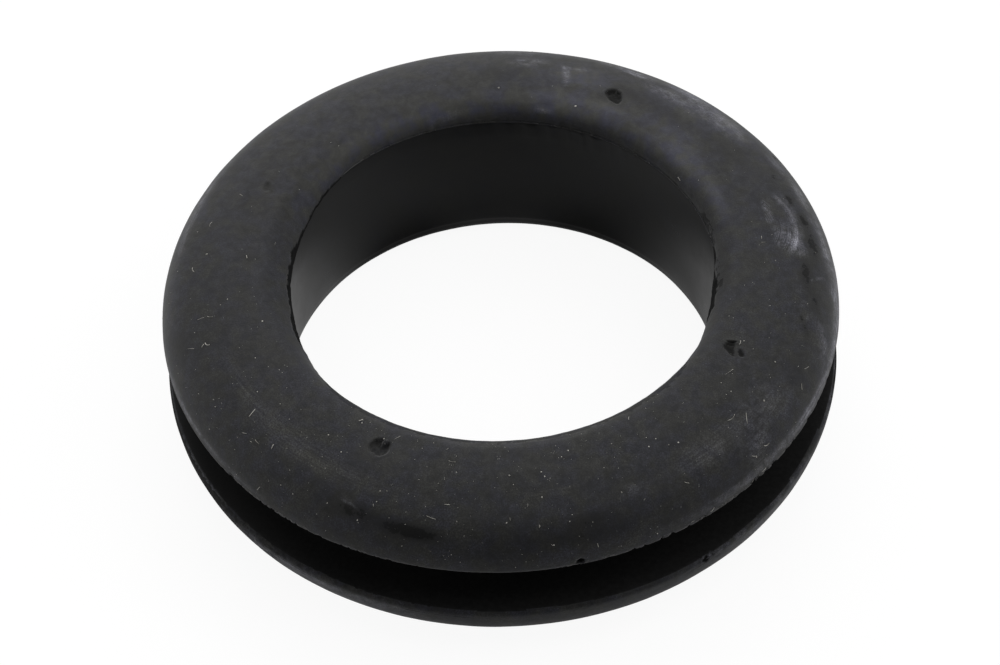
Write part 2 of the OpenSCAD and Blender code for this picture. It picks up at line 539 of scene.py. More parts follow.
def tear_edges(bm, torn):
    """The crease in the bore has its ridge, the skirt hangs torn, and both rims are ragged."""
    for vert in bm.verts:
        radius = math.hypot(vert.co.x, vert.co.y)
        azimuth = math.degrees(math.atan2(vert.co.y, vert.co.x))
        flat = Vector((vert.co.x, vert.co.y, 0))
        at_crease = abs(vert.co.z - LEDGE_Z + CREASE) < 0.01 and radius < BORE_RADIUS + 0.01
        at_skirt = vert.co.z > LEDGE_Z - 0.15 and radius < SKIRT_SEAT.x + 0.01
        far_out = radius >= RIM_RADIUS - RIM_EDGE - 0.1
        at_rim = far_out and GROOVE_Z - 0.1 <= abs(vert.co.z) <= PARTING_Z + 0.7
        if at_crease:
            rise = CREASE_RISE * torn_here(azimuth, CREASE_RIDGE)
            vert.co -= flat / radius * rise * soft_step(-0.7, 0.7, rag(flat, 0.8, 91.0))
        elif at_skirt:
            hang_skirt(vert, flat, radius, azimuth, torn)
        elif at_rim:
            tear_rim(vert, flat / radius, radius, azimuth, torn)


def settle_skin(bm):
    """The skin of a moulding has a slow wave and a fine one, and the crown has sunk."""
    bm.normal_update()
    for vert in bm.verts:
        wave = sum(height * noise.noise(vert.co / length) for height, length in SKIN_WAVES)
        vert.co += (wave - SKIN_SHRINKAGE) * vert.normal
        vert.co.z = max(sunk(vert.co.z), HEADROOM - CROWN_Z)


def rubber_at(face, torn, wiped_and_painted_light):
    """Which rubber a face shows. The groove, which hands never reach, and the lower flange outside its front
    stretch are bare, as painted shade. Torn edges are bare too, and at the skirt's edge that is painted shade
    as well. The bore's wall set against a smooth core pin, and the lower lip takes that rubber as painted
    shade. Gate marks and what is wiped right off are rubbed. So, as painted shade, are the near lip and the
    dark patches on the right lip."""
    middle = face.calc_center_median()
    radius = math.hypot(middle.x, middle.y)
    azimuth = math.degrees(math.atan2(middle.y, middle.x))
    bareness = sum(vert[torn] for vert in face.verts) / len(face.verts)
    wiped_and_shaded = sum(vert[wiped_and_painted_light] for vert in face.verts) / len(face.verts)
    wiped_and_shaded += 0.35 * rag(middle, 0.5, 71.0)

    in_groove = abs(middle.z) < GROOVE_Z + 0.03 and radius > GROOVE_RADIUS - 0.5
    on_edge = radius < SKIRT_SEAT.x or radius > RIM_RADIUS - 1.5
    on_wall = abs(middle.z) < LEDGE_Z - FLARE_HEIGHT and radius < BORE_RADIUS + 0.04
    on_lower_lip = middle.z < 0.2 - LEDGE_Z and radius < BORE_RADIUS + 0.6

    # How many degrees the face lies past the stretch of the lower flange that is not painted as shade, with
    # ragged ends.
    past_unshaded = -math.inf
    if middle.z <= -GROOVE_Z - 0.1 and radius >= CROWN_RADIUS:
        past_unshaded = abs(turn_between(azimuth, UNSHADED_MIDDLE)) - UNSHADED_HALF
        past_unshaded += 6 * rag(middle, 2.0, 61.0) + 4 * rag(middle, 0.5, 63.0)

    narrowed = SHADED_LIP_TAPER * max(abs(turn_between(azimuth, SHADED_LIP_MIDDLE)) - SHADED_LIP_HALF, 0)
    into_lip = CROWN_RADIUS - radius - SHADED_LIP_START + 0.2 * rag(middle, 0.5, 65.0)
    on_shaded_lip = middle.z > LEDGE_Z and into_lip > narrowed

    # The groove and the lower flange outside its front stretch are painted shade.
    if in_groove or past_unshaded > 0 or (on_edge and bareness > 0.55):
        return BARE_AND_SHADED
    # The lower lip takes the pin-moulded rubber as painted shade that dims its reflection.
    if on_wall or on_lower_lip:
        return PIN_MOULDED
    if bareness > 0.5 or wiped_and_shaded > 0.75 or past_unshaded > -SHADE_FRINGE or on_shaded_lip:
        return RUBBED_AND_SHADED
    return BLOOMED


def moulded_ring(rubbers):
    """The ring, in its four rubbers."""
    bm = bmesh.new()
    ring_section(bm)
    swept_round(bm, RING_STEPS, RING_DOUBLINGS)
    layers = bm.verts.layers.float
    torn, scuffed_and_lit, dusty, wiped_and_painted_light = (layers.new(name) for name in ("torn", "scuffed_and_lit", "dusty", "wiped_and_painted_light"))
    refine_darkened(bm)
    refine_rims(bm)
    tear_gates(bm, torn)
    tear_edges(bm, torn)
    settle_skin(bm)
    mark_wear(bm, scuffed_and_lit, dusty, wiped_and_painted_light)
    for face in bm.faces:
        face.material_index = rubber_at(face, torn, wiped_and_painted_light)
    ring = finished(bm, "moulded_ring", *rubbers)
    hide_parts("grommet")


# ---- scuffs, dust and lint ----
# The crescent scuff is made of ribs about this place, which is off the dome, and its outer one is the palest.
CRESCENT_MIDDLE = (17.39, 2.85, 7.87)
CRESCENT_RADIUS = 4.98
# Pale rubbed patches: azimuth, place across the dome, half their length round, half their width across, tilt
# and strength. The azimuth and the tilt are in degrees.
SCUFFS = [
    (5.2, 6.0, 1.4, 0.8, 0, 0.7),
    (8.6, 7.05, 2.4, 0.4, 0, 0.5),
    (3.6, 6.75, 1.0, 0.5, 20, 0.8),
    (12.8, 5.35, 1.4, 0.25, -4, 0.7),
    (15.5, 6.55, 0.5, 0.3, 0, 0.5),
    (17.5, 8.9, 1.6, 0.5, 0, 0.6),
    (8.5, 9.4, 1.5, 0.4, 0, 0.6),
    (3.5, 9.6, 1.3, 0.5, 0, 0.6),
    (45.0, 7.3, 4.0, 1.2, 0, 0.3),
    (76.0, 1.15, 1.0, 0.15, 4, 0.8),
    (73.5, 5.2, 0.3, 1.3, 12, 0.5),
    (74.0, 5.95, 0.35, 0.4, 0, 0.6),
    (70.8, 6.2, 0.6, 0.3, 20, 0.5),
    (82.0, 6.4, 1.2, 0.6, 12, 0.5),
    (84.0, 8.0, 1.6, 0.4, 0, 0.4),
    (52.0, 6.7, 2.0, 0.5, 0, 0.4),
    (50.0, 8.4, 1.6, 0.7, 0, 0.7),
    (60.5, 8.0, 1.2, 0.5, 0, 0.8),
    (54.0, 9.6, 3.0, 0.5, 0, 0.6),
    (66.0, 8.3, 1.3, 0.3, 0, 0.5),
    (40.0, 7.6, 2.4, 1.0, -8, 0.35),
    (25.0, 8.6, 1.4, 0.5, 10, 0.35),
    (11.0, 8.6, 0.35, 0.16, 0, 0.6),
    (0.0, 10.2, 2.4, 0.8, 0, 0.35),
    (-5.0, 10.1, 0.6, 0.4, 30, 0.6),
    (-17.0, 9.6, 1.6, 0.5, 35, 0.35),
    (-6.0, 10.8, 3.6, 0.7, 0, 0.7),
    (158.0, 9.1, 5.0, 0.5, 0, 0.5),
    (-160.0, 11.4, 4.0, 0.4, 0, 0.5),
    (-18.0, 11.3, 6.0, 0.5, 0, 0.9),
    (-10.0, 7.2, 2.0, 0.12, 20, 0.45),
    (-4.0, 8.3, 0.7, 0.1, -60, 0.5),
    (102.0, 0.8, 1.7, 0.35, 8, 0.25),
    (-40.0, 7.7, 3.2, 1.2, 12, 0.12),
    (-42.0, 9.4, 1.6, 0.7, 40, 0.3),
    (-52.0, 7.6, 2.2, 0.9, 0, 0.12),
    (-34.0, 8.5, 1.4, 1.2, 0, 0.14),
    (-68.0, 7.5, 0.8, 0.3, 0, 0.2),
    (-119.0, 8.4, 1.0, 0.13, -14, 0.25),
    (-40.0, 11.2, 7.0, 0.4, 0, 0.5),
    (-150.0, 11.4, 5.0, 0.3, 0, 0.4),
]
# Where the bloom has been wiped away, which leaves the rubber dark, or, below 0, where it has gathered and
# the rubber is paler. On the right lip, at azimuths 14 and -4, the dark is painted shade. The pale patches
# along the back lip and the crown next to it are partly gathered bloom and partly painted light.
WIPED_AND_PAINTED_LIGHT = [
    (-105.5, 9.3, 1.9, 0.6, -3, 0.85),
    (-111.5, 9.1, 3.0, 0.7, -3, 0.5),
    (-118.0, 8.8, 1.6, 0.6, 0, 0.5),
    (50.0, 4.5, 2.8, 1.1, 0, 0.35),
    (32.5, 5.7, 2.2, 1.3, 0, 0.35),
    (70.0, 5.2, 2.2, 1.2, 0, -0.8),
    (60.0, 2.5, 2.2, 0.7, 0, -0.8),
    (36.0, 2.2, 3.0, 1.0, 0, -0.8),
    (38.0, 7.9, 2.2, 1.0, 0, -0.9),
    (50.0, 8.6, 3.2, 0.8, 0, -0.9),
    (-78.0, 9.6, 3.0, 0.8, 0, 0.5),
    (-76.0, 8.6, 1.5, 0.5, 0, 0.5),
    (90.0, 1.4, 16.0, 1.0, 0, -0.8),
    (128.0, 0.9, 9.0, 1.0, 0, -1.3),
    (108.0, 0.7, 5.0, 0.8, 0, -0.8),
    (94.0, 0.8, 3.5, 0.6, 0, -0.5),
    (73.0, 1.2, 4.0, 0.6, 0, -0.9),
    (70.0, 2.5, 4.0, 1.0, 0, -0.6),
    (27.0, 1.9, 5.0, 0.8, 0, -0.5),
    (72.0, 0.0, 7.0, 0.3, 0, 0.44),
    (46.0, 1.3, 7.0, 0.8, 0, -0.9),
    (46.0, 3.3, 4.5, 1.2, 0, -0.7),
    (20.0, 2.1, 3.0, 0.6, -6, -0.8),
    (14.0, 0.2, 3.6, 0.8, 0, 0.9),
    (-4.0, 0.6, 3.4, 0.8, 0, 0.75),
    (71.0, 2.4, 3.0, 0.7, 0, -0.3),
    (72.0, 4.8, 3.0, 1.6, 0, -0.25),
    (44.0, 6.5, 4.0, 1.6, 0, -0.35),
    (15.4, 7.5, 0.8, 0.35, 0, 0.9),
    (10.4, 8.0, 0.8, 0.45, 0, 0.9),
    (4.2, 8.2, 1.8, 0.6, 0, 0.8),
    (-3.5, 7.3, 1.4, 0.55, 0, 0.95),
    (-10.0, 8.2, 1.4, 0.4, 25, 0.7),
    (-15.5, 7.5, 1.6, 0.16, 35, 0.9),
    (22.0, 7.3, 1.2, 0.25, -30, 0.6),
    (28.0, 9.1, 0.25, 0.2, 0, 1.0),
    (76.0, 1.6, 1.1, 0.15, 0, 0.8),
    (88.0, 5.0, 1.5, 1.0, 0, 0.4),
    (60.0, 4.8, 1.4, 0.6, 0, 0.5),
    (-168.0, 9.2, 1.5, 1.0, 0, 0.5),
    (-40.0, 8.6, 1.0, 0.5, 50, 0.6),
    (-26.0, 8.3, 1.2, 0.6, 0, 0.4),
]
# Brushed dust, which is warmer and lies in lines round the ring.
DUST = [
    (-134.0, 6.5, 5.4, 1.0, -3, 0.6),
    (-116.0, 6.7, 3.8, 0.5, -3, 0.35),
    (-152.0, 5.9, 3.0, 0.5, -3, 0.35),
    (-80.0, 1.6, 7.0, 0.5, 0, 0.5),
    (-82.0, 6.2, 2.4, 0.4, 0, 0.3),
    (-102.0, 2.0, 2.6, 0.45, 0, 0.3),
    (-50.0, 7.2, 3.4, 0.9, 0, 0.4),
    (40.0, 1.9, 7.0, 0.4, 0, 0.25),
]
# Where the lower rim and the lower flange's side are paler: partly rubbed, partly a painted highlight on the
# rim and a painted reflection of the table on the side. Azimuth, half its spread and how much. The rim's pale
# line lies a little further out than the middle of its edge.
WORN_AND_LIT_RIM = [(-158, 9, 0.9), (-40, 16, 0.5), (-18, 12, 0.6)]
WORN_AND_LIT_RIM_OUT = 0.01
WORN_AND_LIT_BAND = [(-124, 16, 0.45), (-40, 9, 0.25)]


def patch_strength(azimuth, across, patches):
    """How much of a list of soft-edged patches lies at a place on the dome."""
    total = 0.0
    for at, middle, half_round, half_across, tilt, strength in patches:
        around = math.radians(turn_between(azimuth, at)) * MEAN_RADIUS
        if abs(around) > 2 * max(half_round, half_across):
            continue
        spot = Matrix.Rotation(math.radians(tilt), 2) @ Vector((around, across - middle))
        total += strength * soft_step(1.5, 0.2, math.hypot(spot.x / half_round, spot.y / half_across))
    return min(total, 1.0)


def mark_wear(bm, scuffed_and_lit, dusty, wiped_and_painted_light):
    """Paints the wear on the upper dome, patch by patch, and the pale rim and side of the lower flange,
    partly rubbed and partly painted highlight and reflection.
    """
    for vert in bm.verts:
        radius = math.hypot(vert.co.x, vert.co.y)
        azimuth = math.degrees(math.atan2(vert.co.y, vert.co.x))
        if vert.co.z < PARTING_Z - 0.2 or (vert.co.z < LEDGE_Z - 0.2 and radius < BORE_RADIUS + 0.2):
            off_edge = math.hypot(radius - RIM_CORNER.x - WORN_AND_LIT_RIM_OUT, vert.co.z + RIM_CORNER.y)
            rim = soft_step(0.3, 0.1, off_edge) * torn_here(azimuth, WORN_AND_LIT_RIM)
            band = soft_step(PARTING_Z, PARTING_Z + 0.3, -vert.co.z) * torn_here(azimuth, WORN_AND_LIT_BAND)
            vert[scuffed_and_lit] = max(rim * soft_step(-0.3, 0.6, rag(vert.co, 1.6, 51.0)), band)
            continue
        across = across_dome(radius, vert.co.z)
        for layer, patches in ((scuffed_and_lit, SCUFFS), (dusty, DUST), (wiped_and_painted_light, WIPED_AND_PAINTED_LIGHT)):
            vert[layer] = patch_strength(azimuth, across, patches)


# Lint that catches the eye: azimuth, place across the dome, heading in degrees from outward, length and
# thickness in millimetres, and how far it curls in degrees.
LINT = [
    (-144.8, 6.8, 8, 0.7, 0.07, 5),
    (-136.6, 7.6, 10, 0.36, 0.1, 15),
    (-139.6, 8.05, 80, 0.5, 0.05, 10),
    (-142.8, 8.2, 115, 0.38, 0.05, 10),
    (-171.0, 6.9, -12, 0.5, 0.05, 20),
    (-170.3, 6.25, 120, 0.45, 0.08, 60),
    (-164.2, 7.1, 75, 0.5, 0.09, 110),
    (-164.6, 7.3, 20, 0.3, 0.07, 40),
    (-165.4, 8.2, -40, 0.6, 0.04, 10),
    (-125.3, 2.35, 130, 0.3, 0.11, 30),
    (-101.2, 6.95, 90, 0.35, 0.06, 10),
    (-103.6, 8.05, 73, 0.7, 0.045, 10),
    (-101.8, 3.6, 70, 0.5, 0.045, 30),
    (-75.8, 10.6, 3, 0.3, 0.07, 10),
    (-85.0, 8.5, -20, 0.2, 0.07, 30),
    (-58.0, 8.65, 45, 0.35, 0.06, 10),
    (-60.2, 2.25, -40, 0.25, 0.06, 10),
    (-41.1, 7.5, -48, 0.85, 0.065, 8),
    (-43.2, 6.9, 60, 0.8, 0.05, 60),
    (-41.3, 10.05, 40, 0.55, 0.1, 70),
    (-44.5, 9.95, 35, 0.5, 0.05, 40),
    (-34.8, 4.35, 72, 0.8, 0.04, 5),
    (-28.0, 9.3, -60, 0.45, 0.08, 20),
    (-24.2, 9.0, 50, 0.5, 0.05, 25),
    (-26.6, 3.9, 60, 0.4, 0.06, 70),
    (3.4, 4.25, 0, 0.3, 0.06, 10),
    (4.8, 4.2, 80, 0.3, 0.05, 10),
    (32.0, 0.6, 70, 0.35, 0.08, 10),
    (159.3, 0.45, 5, 0.8, 0.06, 12),
    (174.5, 3.3, 100, 0.3, 0.08, 10),
    (169.0, 1.4, 85, 0.3, 0.05, 10),
    (156.3, 5.5, -30, 0.35, 0.05, 10),
    (164.5, 7.0, 40, 0.5, 0.04, 90),
    (176.2, 7.5, 80, 0.5, 0.07, 60),
    (172.8, 6.45, 30, 0.2, 0.08, 10),
    (-115.4, 2.55, -35, 0.55, 0.05, 5),
    (-135.2, 10.8, -29, 0.5, 0.05, 5),
    (-55.0, 11.7, 95, 0.4, 0.06, 50),
    (-59.0, 11.7, 85, 0.25, 0.05, 20),
    (-46.0, 11.7, 100, 0.35, 0.06, 60),
    (-43.2, 11.65, 80, 0.4, 0.06, 40),
]
# Dust grains that stand out: azimuth, place across the dome and size in millimetres.
GRAINS = [
    (-173.7, 4.7, 0.14), (-155.7, 4.2, 0.1), (-142.2, 4.9, 0.1), (-138.0, 5.3, 0.09),
    (-129.0, 4.6, 0.1), (-127.1, 6.25, 0.12), (-124.7, 2.5, 0.16), (-124.4, 5.3, 0.1),
    (-113.8, 6.95, 0.1), (-112.6, 6.8, 0.09), (-113.7, 7.75, 0.1), (-116.0, 9.4, 0.12),
    (-122.0, 9.05, 0.1), (-131.2, 9.5, 0.1), (-128.5, 9.6, 0.1), (-151.3, 8.55, 0.1),
    (-152.7, 8.35, 0.09), (-149.5, 10.05, 0.11), (-118.0, 3.0, 0.14), (-99.6, 10.5, 0.09),
    (-107.8, 10.4, 0.09), (-89.6, 4.55, 0.13), (-83.8, 6.45, 0.12), (-90.5, 8.1, 0.11),
    (-84.9, 8.5, 0.11), (-82.9, 9.95, 0.1), (-76.4, 3.15, 0.12), (-60.5, 5.05, 0.13),
    (-58.3, 4.75, 0.11), (-56.9, 5.65, 0.13), (-55.0, 5.85, 0.12), (-67.0, 3.65, 0.1),
    (-35.8, 7.6, 0.17), (-27.1, 6.7, 0.12), (-65.6, 11.25, 0.1), (-1.7, 5.0, 0.1),
    (68.3, 1.85, 0.18), (88.2, 2.9, 0.16), (172.8, 6.45, 0.14), (-106.9, 2.2, 0.13),
    (-100.4, 4.4, 0.11), (-83.1, 4.5, 0.12), (-82.6, 4.9, 0.1), (-88.9, 5.3, 0.1),
    (-44.1, 10.1, 0.12), (-25.7, 4.0, 0.13), (-69.5, 7.4, 0.13), (-147.9, 5.5, 0.1),
    (-165.0, 2.6, 0.12),
]
# The rest lies scattered: how much of it, the middle and the spread of its azimuths on the near side, and the
# share of the grains that lie there.
SCATTERED_GRAINS = 640
SCATTERED_LINT = 16
SCATTER_MIDDLE = -100
SCATTER_SPREAD = 55
NEAR_SHARE = 0.85
SCATTERED_THICKNESS = 0.035
LINT_THINNING = 0.52  # a fibre is this much thinner than the blur of it that the eye takes in
RANDOM = random.Random(7)


def lint_fibre(bm, azimuth, across, heading, length, thickness, curl):
    """A short fibre lying on the dome: a small circle spun along an arc."""
    turn = math.radians(max(abs(curl), 3))
    bend_radius = length / turn
    thickness *= LINT_THINNING
    seat = on_dome(azimuth, across) @ Matrix.Rotation(math.radians(heading), 4, "Z")
    end = seat @ Matrix.Translation((-length / 2, 0, 0.2 * thickness)) @ Matrix.Rotation(math.pi / 2, 4, "Y")
    ring = bmesh.ops.create_circle(bm, cap_ends=True, segments=5, radius=thickness / 2, matrix=end)["verts"]
    edges = {edge for vert in ring for edge in vert.link_edges}
    faces = {face for vert in ring for face in vert.link_faces}
    bmesh.ops.spin(
        bm,
        geom=[*ring, *edges, *faces],
        cent=seat @ Vector((-length / 2, bend_radius, 0)),
        axis=seat.to_3x3() @ Vector((0, 0, 1)),
        angle=turn,
        steps=5,
    )


def dust_grain(bm, azimuth, across, size):
    """A crumb of dust, a little wider than it is tall."""
    seat = on_dome(azimuth, across) @ Matrix.Rotation(RANDOM.uniform(0, math.tau), 4, "Z")
    shape = Matrix.Diagonal((RANDOM.uniform(0.8, 1.3), RANDOM.uniform(0.6, 1.0), RANDOM.uniform(0.4, 0.7), 1))
    bmesh.ops.create_icosphere(bm, subdivisions=1, radius=size / 2, matrix=seat @ shape)


def dust_and_lint(material):
    """The fibres in one piece and the crumbs of dust in another: those that stand out, then the scattered."""
    bm = bmesh.new()
    for fibre in LINT:
        lint_fibre(bm, *fibre)
    for _ in range(SCATTERED_LINT):
        azimuth = RANDOM.gauss(SCATTER_MIDDLE, SCATTER_SPREAD)
        across = RANDOM.uniform(2.2, 11.2)
        heading = RANDOM.uniform(0, 180)
        length = RANDOM.uniform(0.1, 0.25)
        lint_fibre(bm, azimuth, across, heading, length, SCATTERED_THICKNESS, RANDOM.uniform(5, 60))
    bmesh.ops.recalc_face_normals(bm, faces=bm.faces)
    finished(bm, "lint", material)
    bm = bmesh.new()
    for grain in GRAINS:
        dust_grain(bm, *grain)
    for _ in range(SCATTERED_GRAINS):
        near = RANDOM.random() < NEAR_SHARE
        azimuth = RANDOM.gauss(SCATTER_MIDDLE, SCATTER_SPREAD) if near else RANDOM.uniform(-180, 180)
        dust_grain(bm, azimuth, RANDOM.uniform(1.6, 11.6), RANDOM.triangular(0.015, 0.075, 0.02))
    finished(bm, "dust_grains", material)


# ---- materials ----
# How wide the patterns in the rubbers and the lint are, in millimetres.
CLOUD = 4.5
WISP = 0.7
TINT = 1.3
SKIN_GRAIN = 0.11
BRUSHED_LENGTH = 3.0
BRUSHED_WIDTH = 1 / 6
RIB = 0.125
PIN_CLOUD = 2.5
PIN_GRAIN = 0.2
BARE_GRAIN = 0.3
LINT_TONE = 0.8


def new_material(name):
    """An empty material, the function that adds nodes to it, and the place on the piece in millimetres."""
    material = bpy.data.materials.new(name)
    material.use_nodes = True
    material.node_tree.nodes.clear()
    node = partial(add, material.node_tree)
    whole = node("TexCoord", output="Object")
    return material, node, node("Mapping", {"Vector": whole, "Scale": (1 / MM, 1 / MM, 1 / MM)})


def moulded_rubber(name, ior, sheen):
    """Moulded black rubber: a matte carbon-black skin under a thin grey bloom, cloudy and a little bluish,
    that lifts it to dark grey where it takes the light. Scuffs are paler, and brushed dust is warmer. On the
    lower rim and the lower flange's side, part of that paleness is painted highlight and reflection. Rubbed
    rubber has a lower IOR and less sheen, and so it stays blacker. On the near lip and at the ends of the
    lower flange's front stretch, that blackness is painted shade."""
    material, node, place = new_material(name)
    torn = node("Attribute", output="Fac", attribute_name="torn")
    scuffed_and_lit = node("Attribute", output="Fac", attribute_name="scuffed_and_lit")
    dusty = node("Attribute", output="Fac", attribute_name="dusty")
    wiped_and_painted_light = node("Attribute", output="Fac", attribute_name="wiped_and_painted_light")

    # Brushed lines run round the ring: the pattern is slow along them and quick across them.
    x, y, z = (node("SeparateXYZ", [place], output=axis) for axis in "XYZ")
    flat = node("CombineXYZ", [x, y])
    radius = node("VectorMath", [flat], output="Value", operation="LENGTH")
    direction = node("VectorMath", [flat], operation="NORMALIZE")
    slow_round = node("VectorMath", {0: direction, "Scale": MEAN_RADIUS / BRUSHED_LENGTH}, operation="SCALE")
    out_and_down = node("Math", [radius, z], operation="SUBTRACT")
    quick_across = node("Math", [out_and_down, 1 / BRUSHED_WIDTH], operation="MULTIPLY")
    stretched = node("VectorMath", [slow_round, node("CombineXYZ", {2: quick_across})])
    lines = node("TexNoise", {"Vector": stretched, "Scale": 1.0, "Detail": 3.0})

    # Near the crescent the lines turn into its ribs.
    off_crescent = node("VectorMath", [place, CRESCENT_MIDDLE], output="Value", operation="DISTANCE")
    rib_turns = node("Math", [off_crescent, 1 / RIB], operation="MULTIPLY")
    ribs = node("TexNoise", {"Vector": node("CombineXYZ", [rib_turns]), "Scale": 1.0, "Detail": 1.0})
    by_crescent = node("MapRange", [off_crescent, CRESCENT_RADIUS + 0.5, CRESCENT_RADIUS + 0.2])
    lines = node("MixRGB", [by_crescent, lines, ribs])
    inner_side = node("MapRange", [off_crescent, CRESCENT_RADIUS - 0.3, CRESCENT_RADIUS - 0.08])
    outer_side = node("MapRange", [off_crescent, CRESCENT_RADIUS + 0.2, CRESCENT_RADIUS + 0.05])
    outer_rib = node("Math", [inner_side, outer_side], operation="MULTIPLY")

    cloud = node("TexNoise", {"Vector": place, "Scale": 1 / CLOUD, "Detail": 4.0, "Roughness": 0.6})
    wisps = node(
        "TexNoise",
        {"Vector": place, "Scale": 1 / WISP, "Detail": 5.0, "Roughness": 0.7, "Distortion": 0.4},
    )
    grain = node("TexNoise", {"Vector": place, "Scale": 1 / SKIN_GRAIN, "Detail": 2.0, "Roughness": 0.7})
    elsewhere = node("VectorMath", [place, (31.0, 7.0, 3.0)])
    tint = node("TexNoise", {"Vector": elsewhere, "Scale": 1 / TINT, "Detail": 3.0})
    tint = node("MapRange", [tint, 0.4, 0.6])

    # The bloom: clouds and wisps of it, in grains that show less towards the back, and less where it was
    # wiped off, down to black where it was wiped right off. Where the patches go below 0, bloom is added. The
    # black on the right lip is painted shade. The added bloom on the back lip and the crown next to it is
    # partly gathered bloom and partly painted light.
    black = node("MixRGB", [tint, linear("#0D0E13"), linear("#111110")])
    grey = node("MixRGB", [tint, linear("#6A6B7F"), linear("#71716C")])
    clouds = node("MapRange", [cloud, 0.35, 0.7, 0.0, 0.06])
    bloom = node("Math", [clouds, node("MapRange", [wisps, 0.36, 0.7, 0.0, 0.08])])
    grainy = node("MapRange", [grain, 0.42, 0.7, -0.8, 0.9])
    grainy = node("Math", [node("MapRange", [y, -4.0, 14.0, 1.0, 0.3]), grainy], operation="MULTIPLY")
    bloom = node("Math", [bloom, node("Math", [grainy, 1.0])], operation="MULTIPLY")
    bloom = node("Math", [bloom, node("MapRange", [wiped_and_painted_light, 0.0, 1.0, 1.0, 0.0])], operation="MULTIPLY")
    bloom = node("Math", [bloom, node("MapRange", [wiped_and_painted_light, -2.0, 0.0, 0.26, 0.0])])
    skin = node("MixRGB", [bloom, black, grey])
    skin = node("MixRGB", [node("MapRange", [wiped_and_painted_light, 0.0, 1.0, 0.0, 0.85]), skin, linear("#030303")])

    # Dust and rubbed rubber lie in the brushed lines and catch on the grain.
    brushed = node("Math", [dusty, node("MapRange", [lines, 0.35, 0.7, 0.02, 0.25])], operation="MULTIPLY")
    brushed = node("Math", [brushed, node("MapRange", [grain, 0.35, 0.7, 0.3, 1.8])], operation="MULTIPLY")
    skin = node("MixRGB", [brushed, skin, linear("#7C7B74")])
    # On the lower rim and the lower flange's side, part of this paleness is painted highlight and reflection.
    least = node("MapRange", [by_crescent, 0.0, 1.0, 0.14, 0.04])
    rubbed_and_lit = node("MapRange", [lines, 0.35, 0.65, least, 0.4])
    rubbed_and_lit = node("Math", [rubbed_and_lit, node("MapRange", [wisps, 0.35, 0.62, 0.2, 1.7])], operation="MULTIPLY")
    rubbed_and_lit = node("Math", [rubbed_and_lit, node("MapRange", [grain, 0.35, 0.7, 0.4, 1.7])], operation="MULTIPLY")
    pale_rib = node("MapRange", [grain, 0.35, 0.65, 0.1, 0.7])
    rubbed_and_lit = node("Math", [rubbed_and_lit, node("Math", [outer_rib, pale_rib], operation="MULTIPLY")])
    rubbed_and_lit = node("Math", [rubbed_and_lit, scuffed_and_lit], operation="MULTIPLY")
    skin = node("MixRGB", [rubbed_and_lit, skin, linear("#9C9CA6")])
    # Torn rubber is near black. At the skirt's edge and in the opened witness line, this black is painted
    # shade.
    skin = node("MixRGB", [torn, skin, linear("#080807")])

    rough = node("MapRange", [cloud, 0.3, 0.7, 0.66, 0.76])
    rough = node("Math", [rough, node("MapRange", [wisps, 0.35, 0.65, 0.05, -0.05])])
    rough = node("Math", [rough, node("Math", [torn, 0.2], operation="MULTIPLY")])
    lumps = node("Bump", {"Strength": 0.5, "Distance": 0.02 * MM, "Height": grain})
    shader = node(
        "BsdfPrincipled",
        {
            "Base Color": skin,
            "Roughness": rough,
            "IOR": ior,
            "Sheen Weight": sheen,
            "Sheen Roughness": 0.5,
            "Normal": lumps,
        },
    )
    node("OutputMaterial", [shader])
    return material


def bore_rubber():
    """Rubber that set against a smooth core pin: black, with a low gloss that picks up the table's painted
    glow.
    """
    material, node, place = new_material("bore_rubber")
    cloud = node("TexNoise", {"Vector": place, "Scale": 1 / PIN_CLOUD, "Detail": 5.0, "Roughness": 0.6})
    grain = node("TexNoise", {"Vector": place, "Scale": 1 / PIN_GRAIN, "Detail": 2.0})
    skin = node("MixRGB", [node("MapRange", [cloud, 0.35, 0.7]), linear("#0E0F12"), linear("#171715")])
    lumps = node("Bump", {"Strength": 0.3, "Distance": 0.004 * MM, "Height": grain})
    rough = node("MapRange", [cloud, 0.3, 0.7, 0.27, 0.36])
    shader = node("BsdfPrincipled", {"Base Color": skin, "Roughness": rough, "IOR": 1.36, "Normal": lumps})
    node("OutputMaterial", [shader])
    return material


def bare_and_shaded_rubber():
    """Unbloomed rubber, nearly black with a fine grain: down in the groove, where nothing has touched it, and
    painted shade there and wherever else it stands in for shade. Towards the rim on the left it is paler, as
    painted light."""
    material, node, place = new_material("bare_and_shaded_rubber")
    x, y = (node("SeparateXYZ", [place], output=axis) for axis in "XY")
    radius = node("VectorMath", [node("CombineXYZ", [x, y])], output="Value", operation="LENGTH")
    # Painted light: the rubber is paler towards the rim on the left, where light falls on it.
    leftward = node("MapRange", [x, -12.0, -20.0])
    left_rim_light = node("Math", [leftward, node("MapRange", [radius, 21.5, 24.8])], operation="MULTIPLY")
    grain = node("TexNoise", {"Vector": place, "Scale": 1 / BARE_GRAIN, "Detail": 3.0})
    skin = node("MixRGB", [node("MapRange", [grain, 0.35, 0.65]), linear("#0D0D0D"), linear("#161616")])
    skin = node("MixRGB", [left_rim_light, skin, linear("#232323")])
    # Torn rubber is near black. At the skirt's edge and in the opened witness line, this black is painted
    # shade.
    skin = node("MixRGB", [node("Attribute", output="Fac", attribute_name="torn"), skin, linear("#020202")])
    lumps = node("Bump", {"Strength": 0.5, "Distance": 0.03 * MM, "Height": grain})
    shader = node("BsdfPrincipled", {"Base Color": skin, "Roughness": 0.8, "IOR": 1.3, "Normal": lumps})
    node("OutputMaterial", [shader])
    return material


